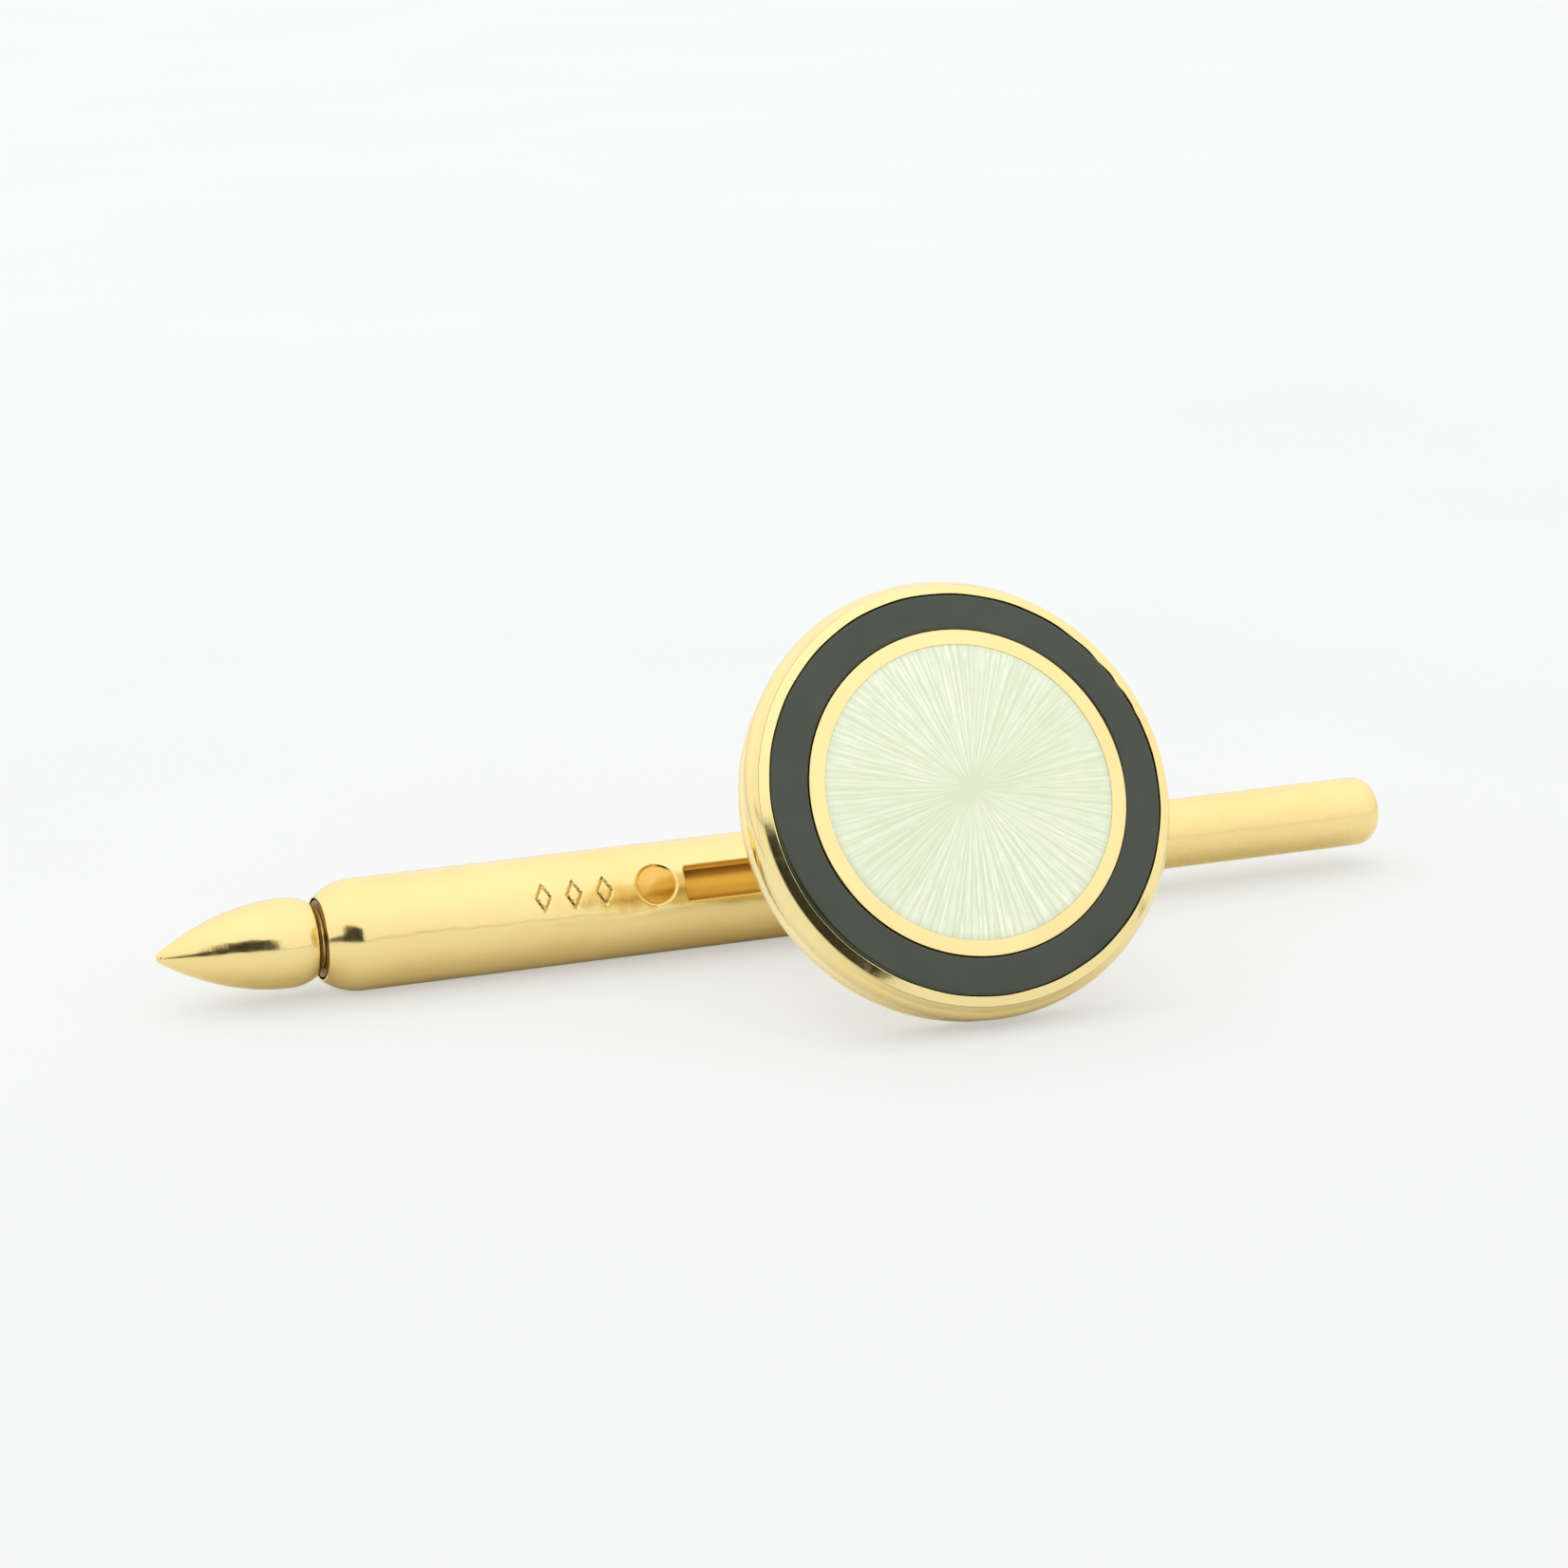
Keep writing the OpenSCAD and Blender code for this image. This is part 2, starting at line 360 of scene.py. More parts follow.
def gold(name, light, deep, rough, rough_spread, streak=(1, 1, 1), relief=0.0015, waves=0.0, metallic=1.0):
    """Yellow gold: slight patches of colour, fine polishing lines and a soft, uneven gloss, with painted
    shade in struck marks and a painted orange reflection in a dished one.

    relief and waves are the heights, in mm, of the polishing lines and of the hand-made unevenness.
    """
    made, tree, shader = material(name)
    patches = node(tree, "ShaderNodeTexNoise", {"Vector": in_mm(tree), "Scale": 0.35, "Detail": 3.0})
    lines = node(tree, "ShaderNodeTexNoise", {
        "Vector": in_mm(tree, streak), "Scale": 9.0, "Detail": 5.0, "Roughness": 0.6})
    specks = node(tree, "ShaderNodeTexNoise", {"Vector": in_mm(tree), "Scale": 2.6, "Detail": 4.0})
    colour = ramp(tree, patches.outputs["Fac"], [(0.3, deep), (0.7, light)])
    recess = node(tree, "ShaderNodeAttribute", attribute_name="recess").outputs["Fac"]
    # Painted shade: the struck marks darken with their depth, and the dished round mark turns orange as a
    # painted reflection
    cut = blended(tree, math_node(tree, "MULTIPLY", recess, MARK_SHADE_SHARE), colour, CUT_PAINTED_SHADE)
    dished = blended(tree, math_node(tree, "MULTIPLY", recess, -MARK_SHADE_SHARE), cut, DISH_SHADE_REFLECTION)
    tree.links.new(dished, shader.inputs["Base Color"])
    shader.inputs["Metallic"].default_value = metallic
    gloss = math_node(tree, "ADD", remap(tree, lines.outputs["Fac"], rough, rough + rough_spread, 0.3, 0.7),
                      remap(tree, specks.outputs["Fac"], 0.0, rough_spread, 0.45, 0.75))
    tree.links.new(gloss, shader.inputs["Roughness"])
    uneven = node(tree, "ShaderNodeBump", {
        "Height": patches.outputs["Fac"], "Strength": 1.0, "Distance": waves * MM})
    bump = node(tree, "ShaderNodeBump", {
        "Height": lines.outputs["Fac"], "Strength": 0.35, "Distance": relief * MM,
        "Normal": uneven.outputs["Normal"]})
    tree.links.new(bump.outputs["Normal"], shader.inputs["Normal"])
    return made


def black_enamel():
    """Glossy opaque enamel, very dark with a faint green cast and a softly uneven surface."""
    made, tree, shader = material("black_enamel")
    cloud = node(tree, "ShaderNodeTexNoise", {"Vector": in_mm(tree), "Scale": 0.8, "Detail": 4.0})
    grain = node(tree, "ShaderNodeTexNoise", {"Vector": in_mm(tree), "Scale": 7.0, "Detail": 3.0})
    colour = ramp(tree, cloud.outputs["Fac"], [(0.3, (0.015, 0.021, 0.007)), (0.7, (0.026, 0.032, 0.011))])
    tree.links.new(colour, shader.inputs["Base Color"])
    tree.links.new(remap(tree, grain.outputs["Fac"], 0.10, 0.20, 0.3, 0.7), shader.inputs["Roughness"])
    shader.inputs["IOR"].default_value = 1.6
    bump = node(tree, "ShaderNodeBump", {
        "Height": cloud.outputs["Fac"], "Strength": 0.3, "Distance": 0.004 * MM})
    tree.links.new(bump.outputs["Normal"], shader.inputs["Normal"])
    return made


def pale_enamel():
    """Pale green translucent enamel over an engine-turned ground, under one smooth glossy top.

    The engine-turned rays are drawn as painted glints, counted round the disc; each draws its own place,
    breadth, strength and start, and they are brightest towards 105 degrees, where the grooves face the
    light.
    """
    made, tree, shader = material("pale_enamel")
    flat = node(tree, "ShaderNodeUVMap", uv_map="face_mm").outputs["UV"]
    parts = node(tree, "ShaderNodeSeparateXYZ", {"Vector": flat})
    radius = node(tree, "ShaderNodeVectorMath", {0: flat}, operation="LENGTH").outputs["Value"]
    angle = math_node(tree, "ARCTAN2", parts.outputs["Y"], parts.outputs["X"])

    def rays(count, width, first, last, seed):
        """The ground's straight lines, drawn as painted glints, from between two radii out to the edge,
        each of its own strength and breadth.
        """
        wander = node(tree, "ShaderNodeTexNoise", {"Vector": flat, "W": seed, "Scale": 0.8, "Detail": 2.0},
                      noise_dimensions="4D").outputs["Fac"]
        turns = math_node(tree, "ADD", math_node(tree, "MULTIPLY", angle, count / (2 * math.pi)),
                          remap(tree, wander, -0.15, 0.15, 0.2, 0.8))
        index = math_node(tree, "FLOOR", turns)
        draw = node(tree, "ShaderNodeTexWhiteNoise", {"W": math_node(tree, "ADD", index, seed)},
                    noise_dimensions="1D")
        draws = node(tree, "ShaderNodeSeparateColor", {"Color": draw.outputs["Color"]})
        share = math_node(tree, "FRACT", turns)
        off = math_node(tree, "ABSOLUTE", math_node(
            tree, "SUBTRACT", share, remap(tree, draws.outputs[0], 0.3, 0.7)))
        pitch = math_node(tree, "MULTIPLY", radius, 2 * math.pi / count)
        reach = math_node(tree, "MINIMUM", remap(tree, draws.outputs[1], 0.6 * width, 1.4 * width),
                          math_node(tree, "MULTIPLY", pitch, 0.28))
        line = math_node(tree, "SUBTRACT", 1.0, math_node(
            tree, "DIVIDE", math_node(tree, "MULTIPLY", off, pitch), reach))
        start = remap(tree, draws.outputs[2], first, last)
        begun = remap(tree, math_node(tree, "SUBTRACT", radius, start), 0.0, 1.0, -0.1, 0.25)
        broken = node(tree, "ShaderNodeTexNoise", {
            "Vector": node(tree, "ShaderNodeCombineXYZ", {
                "X": math_node(tree, "MULTIPLY", index, 7.3), "Y": math_node(tree, "MULTIPLY", radius, 1.6),
                "Z": seed}).outputs["Vector"], "Scale": 1.0, "Detail": 2.0}).outputs["Fac"]
        strength = math_node(tree, "MULTIPLY", remap(tree, broken, 0.35, 1.0, 0.35, 0.55),
                             remap(tree, draw.outputs["Value"], 0.45, 1.0))
        shape = math_node(tree, "MULTIPLY", node(
            tree, "ShaderNodeClamp", {"Value": line}).outputs[0], begun)
        return math_node(tree, "MULTIPLY", shape, strength)

    # Each layer's count, its lines' width and their least and greatest starting radii in mm, and its seed
    lit = rays(RAYS, 0.055, 0.15, 1.1, 3.0)
    for layer in ((61, 0.05, 0.1, 0.7, 47.0), (150, 0.035, 1.4, 3.0, 91.0), (104, 0.07, 3.1, 3.7, 133.0)):
        lit = math_node(tree, "MAXIMUM", lit, rays(*layer))
    # Painted highlight: the glints are brightest round 105 degrees, where the grooves face the light
    facing_light = math_node(tree, "COSINE", math_node(
        tree, "MULTIPLY", math_node(tree, "SUBTRACT", angle, BRIGHTEST_GLINTS), 2.0))
    lit = math_node(tree, "MULTIPLY", lit, remap(tree, facing_light, 0.5, 1.0, -1.0, 1.0))
    # Painted shade: the disc darkens within 0.2 mm of its edge, beside the gold band's wall
    rim = remap(tree, radius, 0.0, 1.0, DISC_R - 0.2, DISC_R)
    cloud = node(tree, "ShaderNodeTexNoise", {"Vector": flat, "Scale": 0.55, "Detail": 3.0}).outputs["Fac"]
    ground = ramp(tree, cloud, [(0.35, (0.66, 0.71, 0.48)), (0.68, (0.70, 0.74, 0.50))])
    lined = blended(tree, lit, ground, (0.95, 0.965, 0.81))
    edge_shaded = blended(tree, math_node(tree, "MULTIPLY", rim, 0.35), lined, (0.55, 0.60, 0.42))
    tree.links.new(edge_shaded, shader.inputs["Base Color"])
    tree.links.new(remap(tree, lit, 0.5, 0.3), shader.inputs["Roughness"])
    bump = node(tree, "ShaderNodeBump", {"Height": lit, "Strength": 0.25, "Distance": 0.012 * MM})
    tree.links.new(bump.outputs["Normal"], shader.inputs["Normal"])
    shader.inputs["IOR"].default_value = 1.5
    shader.inputs["Coat Weight"].default_value = 1.0
    shader.inputs["Coat Roughness"].default_value = 0.04
    shader.inputs["Coat IOR"].default_value = 1.5
    return made


def spring_wire():
    """Drawn steel wire with fine lines along it."""
    made, tree, shader = material("spring_wire")
    lines = node(tree, "ShaderNodeTexNoise", {
        "Vector": in_mm(tree, (3, 1, 1)), "Scale": 6.0, "Detail": 4.0})
    colour = ramp(tree, lines.outputs["Fac"], [(0.3, (0.42, 0.42, 0.43)), (0.7, (0.58, 0.58, 0.59))])
    tree.links.new(colour, shader.inputs["Base Color"])
    shader.inputs["Metallic"].default_value = 1.0
    tree.links.new(remap(tree, lines.outputs["Fac"], 0.25, 0.4, 0.3, 0.7), shader.inputs["Roughness"])
    return made


# Painted shade in the struck marks: dark gold in the cut grooves, and orange for gold reflected in the
# dished round mark
MARK_SHADE_SHARE = 0.9
CUT_PAINTED_SHADE = (0.60, 0.46, 0.18)
DISH_SHADE_REFLECTION = (0.74, 0.40, 0.055)
LIGHT_GOLD = (0.918, 0.730, 0.330)
DEEP_GOLD = (0.885, 0.688, 0.290)
# Where the disc's painted glints are brightest, as the grooves there face the light
BRIGHTEST_GLINTS = math.radians(105)
HEAD_GOLD = gold("head_gold", (0.925, 0.762, 0.370), (0.895, 0.715, 0.320), rough=0.07, rough_spread=0.05)
TUBE_GOLD = gold("tube_gold", LIGHT_GOLD, DEEP_GOLD, rough=0.10, rough_spread=0.07,
                 streak=(2.4, 0.3, 0.3), relief=0.005, waves=0.12)
ROD_GOLD = gold("rod_gold", LIGHT_GOLD, DEEP_GOLD, rough=0.17, rough_spread=0.10,
                streak=(1.0, 0.7, 0.7), relief=0.007, waves=0.04)
# Painted shade: a duller gold painted deep orange for the shade and gold-on-gold reflection inside the tube
INNER_SHADE_GOLD = gold("inner_gold", (0.98, 0.62, 0.12), (0.94, 0.55, 0.09), rough=0.32, rough_spread=0.10,
                  metallic=0.6)
# Painted shade: the plug's gold is painted dark brown for the shade in the gap behind the tip
PLUG_SHADE_GOLD = gold("plug_shade_gold", (0.36, 0.19, 0.04), (0.28, 0.14, 0.03), rough=0.30, rough_spread=0.12)
BACK_GOLD = gold("back_gold", (0.95, 0.80, 0.45), (0.92, 0.76, 0.40), rough=0.22, rough_spread=0.10)
BLACK_ENAMEL = black_enamel()
PALE_ENAMEL = pale_enamel()
SPRING_WIRE = spring_wire()


# ---------------------------------------------------------------------------------------------- the head

def chipped(angle):
    """How far the black enamel's outer edge strays at an angle, in mm; it has a few small chips."""
    ripple = 0.006 * math.sin(7 * angle + 1.1) + 0.004 * math.sin(23 * angle)
    chips = sum(depth * math.exp(-((angle - at) / breadth) ** 2) for at, breadth, depth in CHIPS)
    return ripple - chips


def with_chips(reach):
    """A shape for turned() whose outer channel wall follows the chips, fading within a reach of it."""
    def shape(r, h, angle):
        near_edge = max(0.0, 1 - abs(r - RING_R) / reach)
        return r + chipped(angle) * near_edge, h

    return shape


def make_bezel():
    """The rounded rim, burnished up against the enamelled plate, with the ledge that the plate sits on."""
    lip = math.degrees(math.acos((PLATE_R - HEAD_R + BEAD_R) / BEAD_R))
    burnished = 14
    bend_steps = 8
    outline = [(LEDGE_R, BACK_TOP), (HEAD_R - BEAD_R, BACK_TOP)]
    outline += arc(HEAD_R - BEAD_R, BEAD_H, BEAD_R, -90, lip - burnished, 36)
    lip_start = Vector(outline[-1])
    lip_end = Vector((PLATE_R + 0.004, FACE_H - BEVEL_DROP - 0.03))
    lip_bend = Vector((PLATE_R + 0.07, BEAD_H + BEAD_R * math.sin(math.radians(lip))))
    for i in range(1, bend_steps + 1):
        t = i / bend_steps
        outline.append(tuple(lip_start * (1 - t) ** 2 + lip_bend * 2 * t * (1 - t) + lip_end * t ** 2))
    outline += [(PLATE_R, SEAT_H), (LEDGE_R, SEAT_H)]
    points, faces = turned(outline, about_face, 360)
    return piece("polished_rim", points, faces, HEAD_GOLD, "stud", "bezel")


def make_face_plate():
    """The gold plate, with its bevel, its domed band and the two wells."""
    steps = 6
    outline = eased([(0, SEAT_H), (PLATE_R, SEAT_H, 0.03), (PLATE_R, FACE_H - BEVEL_DROP, 0.012),
                     (RING_R, FACE_H, 0.012), (RING_R, CHANNEL_H, 0.03), (BAND_R, CHANNEL_H, 0.03)],
                    closed=False)
    outline.append((BAND_R, dome(BAND_R) - 0.02))
    outline.append((BAND_R - 0.006, dome(BAND_R) - 0.004))
    for i in range(1, steps):
        r = BAND_R - (BAND_R - DISC_R) * i / steps
        outline.append((r, dome(r)))
    outline.append((DISC_R + 0.006, dome(DISC_R) - 0.004))
    outline += [(DISC_R, dome(DISC_R) - 0.02), (DISC_R, WELL_H), (0, WELL_H)]
    points, faces = turned(outline, about_face, 720, closed=False, shape=with_chips(0.05))
    return piece("enamelled_plate", points, faces, HEAD_GOLD, "stud", "face_plate")


def make_black_ring():
    """Black enamel, polished almost flush, with a fine meniscus line at both edges."""
    gap = 0.001
    steps = 40
    inner_r = BAND_R + gap
    outline = [(inner_r, CHANNEL_H), (inner_r, dome(BAND_R) - MENISCUS - 0.02)]
    for i in range(steps + 1):
        r = inner_r + (RING_R - BAND_R - 2 * gap) * i / steps
        edge = min(i, steps - i)
        outline.append((r, dome(r) - 0.002 - MENISCUS * math.exp(-edge * 0.9)))
    outline += [(RING_R - gap, FACE_H - MENISCUS - 0.02), (RING_R - gap, CHANNEL_H)]
    points, faces = turned(outline, about_face, 720, shape=with_chips(0.06))
    return piece("black_ring", points, faces, BLACK_ENAMEL, "stud", "black_enamel_ring")


def make_pale_disc():
    """Pale enamel whose surface carries the shallow flutes of the engine-turned ground."""
    draws = random.Random(11)
    lobes = [(draws.uniform(-0.25, 0.25), draws.uniform(0.5, 1.0)) for _ in range(RAYS)]
    flute_depth = 0.006
    rings = 40
    edge = DISC_R - 0.001
    outline = [(0, WELL_H), (edge, WELL_H), (edge, dome(DISC_R) - 0.03)]
    for i in range(rings, -1, -1):
        r = edge * i / rings
        drop = 0.003 + 0.02 * math.exp(-(edge - r) / 0.03)
        outline.append((r, dome(r) - drop))

    def flutes(r, h, angle):
        """Shallow scallops that fade towards the centre and the edge."""
        if h < dome(r) - 0.025:
            return r, h
        turn = angle / (2 * math.pi) * RAYS
        shift, depth = lobes[int(turn) % RAYS]
        share = turn % 1
        wave = math.sin(math.pi * min(max(share + shift * math.sin(math.pi * share), 0), 1))
        fade = max(min(r / 1.2, 1) * min((edge - r) / 0.3, 1), 0)
        wander = noise.noise(Vector((angle * 9, r * 1.3, 0.7)))
        return r, h - flute_depth * depth * wave * fade * (1 + 0.5 * wander)

    points, faces = turned(outline, about_face, RAYS * 8, closed=False, shape=flutes)
    uvs = [(p[0], p[1]) for p in points]
    return piece("sunray_disc", points, faces, PALE_ENAMEL, "stud", "pale_enamel_disc",
                 sharp_angle=50, uvs=uvs)


def make_back_plate():
    """The plate that closes the head, with a rolled edge and a hole for the post."""
    edge_r = (BACK_TOP - BACK_BOTTOM) / 2
    outline = [(POST_R, BACK_TOP), (POST_R, BACK_BOTTOM), (POST_R + 0.05, BACK_BOTTOM),
               (BACK_R - edge_r - 0.1, BACK_BOTTOM)]
    outline += arc(BACK_R - edge_r, BACK_BOTTOM + edge_r, edge_r, -90, 90, 20)
    outline += [(BACK_R - edge_r - 0.1, BACK_TOP)]
    points, faces = turned(outline, about_face, 360)
    return piece("back_cover", points, faces, BACK_GOLD, "stud", "back_plate")


def make_post():
    """The post, flared in a cove under the back plate; its lower end is inside the rod."""
    flare = FOOT_R - POST_R
    outline = [(0, POST_END), (POST_R, POST_END), (POST_R, 0.0), (POST_R, 3.0)]
    outline += arc(FOOT_R, BACK_BOTTOM - flare, flare, 180, 92, 16)
    outline += [(FOOT_R - 0.02, BACK_BOTTOM), (POST_R, BACK_BOTTOM), (POST_R, BACK_TOP), (0, BACK_TOP)]
    points, faces = turned(outline, about_face, 96, closed=False)
    return piece("turned_post", points, faces, ROD_GOLD, "stud", "post")


# ----------------------------------------------------------------------------------------------- the bar

def make_rod():
    """The plain rod with its crowned end, relieved shank, piston and spring nose."""
    piston_r = BORE_R - 0.03
    crown_slope = 0.5 * math.tan(math.radians(12))
    crown_steps = 8
    outline = eased([(0, NOSE_LEFT), (NOSE_R, NOSE_LEFT, 0.15), (NOSE_R, PISTON_FRONT, 0.02),
                     (piston_r, PISTON_FRONT, 0.04), (piston_r, PISTON_BACK, 0.04),
                     (SHANK_R, PISTON_BACK, 0.05), (SHANK_R, SHANK_END)], closed=False)
    outline += [(ROD_R, SHANK_END + 0.02), (ROD_R, 6.0), (ROD_R, 10.0), (ROD_R, 13.0)]
    outline += arc(ROD_R - ROD_CORNER, ROD_RIGHT - ROD_CROWN - ROD_CORNER, ROD_CORNER, 0, 78, 16)
    crown_r, crown_x = outline[-1]
    for i in range(1, crown_steps + 1):
        r = crown_r * (1 - i / crown_steps)
        outline.append((r, crown_x + crown_slope * (crown_r ** 2 - r ** 2) / crown_r))
    points, faces = turned(outline, about_bar, 160, closed=False)
    # The shank inside the tube takes gold painted deep orange for the shade inside the tube
    return piece("plain_rod", points, faces, ROD_GOLD, "stud", "inner_rod",
                 inner=lambda middle: middle.x < SHANK_END)


def dent(x, m):
    """Depth of the punch marks on the side that faces the head, as a share of their full depth."""
    m -= MARKS_OFF
    depth = 0.0
    share = math.hypot(x - ROUND_MARK_X, m) / ROUND_MARK_R
    if share < 1:
        depth = min((1 - share) / ROUND_MARK_WALL, 1) * (0.75 + 0.25 * share ** 2)
    for centre in LOZENGES_X:
        share = abs(x - centre) / LOZENGE_W + abs(m) / LOZENGE_H
        if 1 - GROOVE_SHARE < share < 1:
            across = (share - 1 + GROOVE_SHARE / 2) / (GROOVE_SHARE / 2)
            depth = max(depth, 1 - across ** 2)
    return depth


def tint(x, m, n):
    """A point's share of a mark's depth, negative in the round mark; 0 in the bore and on the far side."""
    if n <= 0 or math.hypot(m, n) <= BORE_R + 0.1:
        return 0.0
    sign = -1 if x > ROUND_MARK_X - ROUND_MARK_R else 1
    return sign * dent(x, m)


def land(x, m):
    """Depth of the flat that striking the marks has left round them, in mm."""
    along = min(max((x - LAND_LEFT) / LAND_FADE, 0), 1) * min(max((LAND_RIGHT - x) / LAND_FADE, 0), 1)
    across = max(1 - (m / LAND_HALF) ** 2, 0)
    return LAND_DEPTH * (3 - 2 * along) * along ** 2 * across ** 2


def tube_stations():
    """Places along the tube, close together where the marks and the slot's ends are."""
    fine_step = 0.03
    coarse_step = 0.2
    closest = 0.012
    eased_end = TUBE_RIGHT - 0.06
    stations = [SHOULDER_AT - 0.02]
    x = SHOULDER_AT
    while x < eased_end:
        stations.append(x)
        near_marks = LOZENGES_X[0] - 0.4 < x < ROUND_MARK_X + 0.8
        near_slot_end = min(abs(x - SLOT_LEFT), abs(x - SLOT_RIGHT)) < 0.35
        x += fine_step if near_marks or near_slot_end else coarse_step
    stations += [SLOT_LEFT, SLOT_RIGHT, eased_end]
    merged = []
    for x in sorted(stations):
        if merged and x - merged[-1] < closest:
            if x in (SLOT_LEFT, SLOT_RIGHT):
                merged[-1] = x
            continue
        merged.append(x)
    return merged


def tube_angles():
    """Angles round the tube from the side that faces the head, fine near the slot's sides and the marks."""
    slot_steps = 22
    fine_steps = 12
    rest_steps = 60
    inside = [SLOT_AT * i / slot_steps for i in range(slot_steps)]
    beside = [SLOT_AT + math.radians(1.1) * i for i in range(fine_steps)]
    rest_start = beside[-1] + math.radians(2)
    rest = [rest_start + (math.pi - rest_start) * i / rest_steps for i in range(rest_steps + 1)]
    half = inside + beside + rest
    return [-a for a in reversed(half[1:-1])] + half


def to_slot_edge(x, m, inset):
    """The nearest point of the slot's rounded rectangle, drawn in by an inset."""
    corner = max(SLOT_CORNER - inset, 0.01)
    left = SLOT_LEFT + inset + corner
    right = SLOT_RIGHT - inset - corner
    side = SLOT_HALF - inset - corner
    middle_x = min(max(x, left), right)
    middle_m = min(max(m, -side), side)
    away = Vector((x - middle_x, m - middle_m))
    away = away.normalized() * corner if away.length > 1e-9 else Vector((0, 0))
    return middle_x + away.x, middle_m + away.y


def part_of_slot(x, angle):
    """"rim" on the slot's outline, "hole" within it, and nothing elsewhere."""
    within_ends = SLOT_LEFT - NEAR <= x <= SLOT_RIGHT + NEAR
    if not within_ends or abs(angle) > SLOT_AT + NEAR:
        return None
    on_end = min(abs(x - SLOT_LEFT), abs(x - SLOT_RIGHT)) < NEAR
    on_side = abs(abs(angle) - SLOT_AT) < NEAR
    return "rim" if on_end or on_side else "hole"


def tube_profile():
    """The tube's outside as (x, radius): the soft shoulder, the straight part and the eased right end."""
    steps = 22
    profile = []
    for i in range(steps):
        x = SHOULDER_AT - (SHOULDER_AT - TUBE_LEFT) * (1 - i / steps) * 0.98
        profile.append((x, TUBE_R - SHOULDER_R + math.sqrt(SHOULDER_R ** 2 - (x - SHOULDER_AT) ** 2)))
    profile += [(x, TUBE_R) for x in tube_stations()]
    profile += [(TUBE_RIGHT - 0.03, TUBE_R - 0.01), (TUBE_RIGHT - 0.005, TUBE_R - 0.035)]
    return profile


def outside_point(x, radius, angle):
    """A point of the tube's outside: on the eased edge at the slot's rim, and pushed in by the marks."""
    m = radius * math.sin(angle)
    n = radius * math.cos(angle)
    part = part_of_slot(x, angle)
    if part == "rim":
        x, m = to_slot_edge(x, m, -SLOT_EDGE)
        return x, m, math.sqrt(TUBE_R ** 2 - m ** 2)
    if part == "hole":
        return x, m, n
    push = MARK_DEPTH * dent(x, m) + land(x, m) if n > 0 else 0
    return x, m * (1 - push / TUBE_R), n - push * math.cos(angle)


def bore_point(x, radius, angle):
    """The point of the bore behind a point of the outside."""
    if part_of_slot(x, angle) == "rim":
        x, m = to_slot_edge(x, TUBE_R * math.sin(angle), 0)
        return x, m, math.sqrt(BORE_R ** 2 - m ** 2)
    bore = min(BORE_R, radius - 0.05)
    return x, bore * math.sin(angle), bore * math.cos(angle)


def slot_walls(profile, angles, points, edges, behind):
    """Faces down the slot's wall from its edges in the outside to the bore, rounded over at the top."""
    steps = 6
    columns = {}
    faces = []

    def column(corner):
        """The points down the wall below one point of the rim; new ones are added to the tube's points."""
        if corner in columns:
            return columns[corner]
        ring, spoke = divmod(corner, len(angles))
        x = profile[ring][0]
        m = TUBE_R * math.sin(angles[spoke])
        down = [corner]
        for step in range(1, steps + 1):
            a = math.pi / 2 * step / steps
            edge_x, edge_m = to_slot_edge(x, m, -SLOT_EDGE * (1 - math.sin(a)))
            top = math.sqrt(TUBE_R ** 2 - edge_m ** 2)
            down.append(len(points))
            points.append((edge_x, edge_m, top - SLOT_EDGE * (1 - math.cos(a))))
        down.append(corner + behind)
        columns[corner] = down
        return down

    for start, end in edges:
        here = column(start)
        there = column(end)
        for step in range(steps + 1):
            faces.append([here[step], here[step + 1], there[step + 1], there[step]])
    return faces


def make_tube():
    """The slotted tube, with struck marks, an eased slot and a soft shoulder at its left end."""
    profile = tube_profile()
    angles = tube_angles()
    count = len(angles)
    last = len(profile) - 1
    points = [outside_point(x, radius, angle) for x, radius in profile for angle in angles]
    behind = len(points)
    points += [bore_point(x, radius, angle) for x, radius in profile for angle in angles]

    def at(ring, spoke):
        """The number of the outside's point on a ring and a spoke; the bore's is behind further on."""
        return ring * count + spoke % count

    def is_open(ring, spoke):
        """Is the cell that starts at a ring and a spoke part of the slot?"""
        return all(part_of_slot(profile[i][0], angles[k % count])
                   for i in (ring, ring + 1) for k in (spoke, spoke + 1))

    openings = {(ring, spoke) for ring in range(last) for spoke in range(count) if is_open(ring, spoke)}
    faces = []
    edges = []
    for ring in range(last):
        for spoke in range(count):
            if (ring, spoke) in openings:
                continue
            a = at(ring, spoke)
            b = at(ring, spoke + 1)
            c = at(ring + 1, spoke + 1)
            d = at(ring + 1, spoke)
            faces.append([a, b, c, d])
            faces.append([b + behind, a + behind, d + behind, c + behind])
            for up, round_, edge in ((-1, 0, (a, b)), (1, 0, (c, d)), (0, -1, (d, a)), (0, 1, (b, c))):
                if (ring + up, (spoke + round_) % count) in openings:
                    edges.append(edge)
    for spoke in range(count):
        for start, end in ((at(0, spoke + 1), at(0, spoke)), (at(last, spoke), at(last, spoke + 1))):
            faces.append([start, end, end + behind, start + behind])
    faces += slot_walls(profile, angles, points, edges, behind)
    kept = sorted({v for face in faces for v in face})
    index = {v: i for i, v in enumerate(kept)}
    points = [points[v] for v in kept]
    faces = [[index[v] for v in face] for face in faces]
    # The bore takes gold painted deep orange for the shade inside the tube; the marks' depth drives their
    # painted shade
    return piece("slotted_tube", points, faces, TUBE_GOLD, "sleeve", "slide_tube",
                 recess=[tint(*point) for point in points],
                 inner=lambda middle: middle.x > SHOULDER_AT + 0.3 and middle.yz.length < BORE_R + 0.04)


